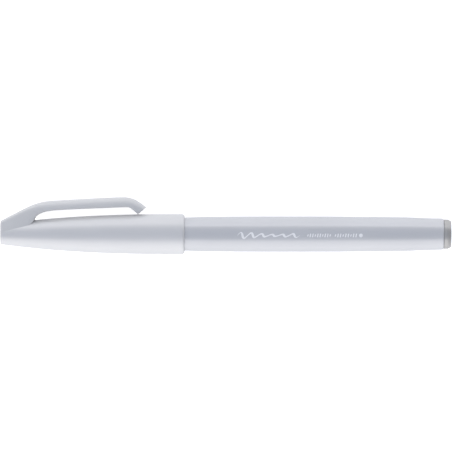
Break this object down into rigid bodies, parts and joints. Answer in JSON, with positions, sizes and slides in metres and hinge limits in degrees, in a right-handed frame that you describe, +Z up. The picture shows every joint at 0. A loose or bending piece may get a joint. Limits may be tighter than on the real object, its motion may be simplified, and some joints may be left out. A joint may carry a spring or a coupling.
{
  "type": "calligraphy marker",
  "caption": "Capped brush-tipped calligraphy marker: tapered cap with a bent clip, barrel-shaped body and tail plug, lying on its side.",
  "frame": {"origin": "centre of the bounding box in X and Y, on the table that the marker lies on", "axes": "+X runs along the marker from the crown of the cap to the tail, +Z is up, and the clip points to +Y and a little down, resting on the table"},
  "size_m": [0.148, 0.0177, 0.0133],
  "materials": {
    "cap": "satin",
    "liner": "satin",
    "barrel": "gloss",
    "plug": "satin",
    "section": "satin",
    "tip": "matte",
    "fibre": "matte",
    "film": "gloss"
  },
  "bodies": {
    "barrel": {"barrel": "barrel", "tail_plug": "plug", "front_section": "section", "feed_rod": "fibre", "reservoir_core": "fibre", "reservoir_film": "film"},
    "cap": {"cap_shell": "cap", "inner_cap": "liner"},
    "clip": {"clip": "cap"},
    "tip": {"brush_tip": "tip"}
  },
  "joints": [
    {"name": "cap_slide", "type": "slide", "parent": "barrel", "child": "cap", "axis": [-1, 0, 0], "range_m": [0, 0.05]},
    {"name": "clip_flex", "type": "hinge", "parent": "cap", "child": "clip", "pos_m": [-0.0598, 0.00735, 0.00202], "axis": [0, 0.4352, 0.9003], "range_deg": [0, 4], "stiffness_Nm_per_rad": 1.4},
    {"name": "tip_bend", "type": "hinge", "parent": "barrel", "child": "tip", "pos_m": [-0.047, -0.00222, 0.00664], "axis": [0, 0.4352, 0.9003], "range_deg": [-20, 20], "stiffness_Nm_per_rad": 0.01}
  ]
}
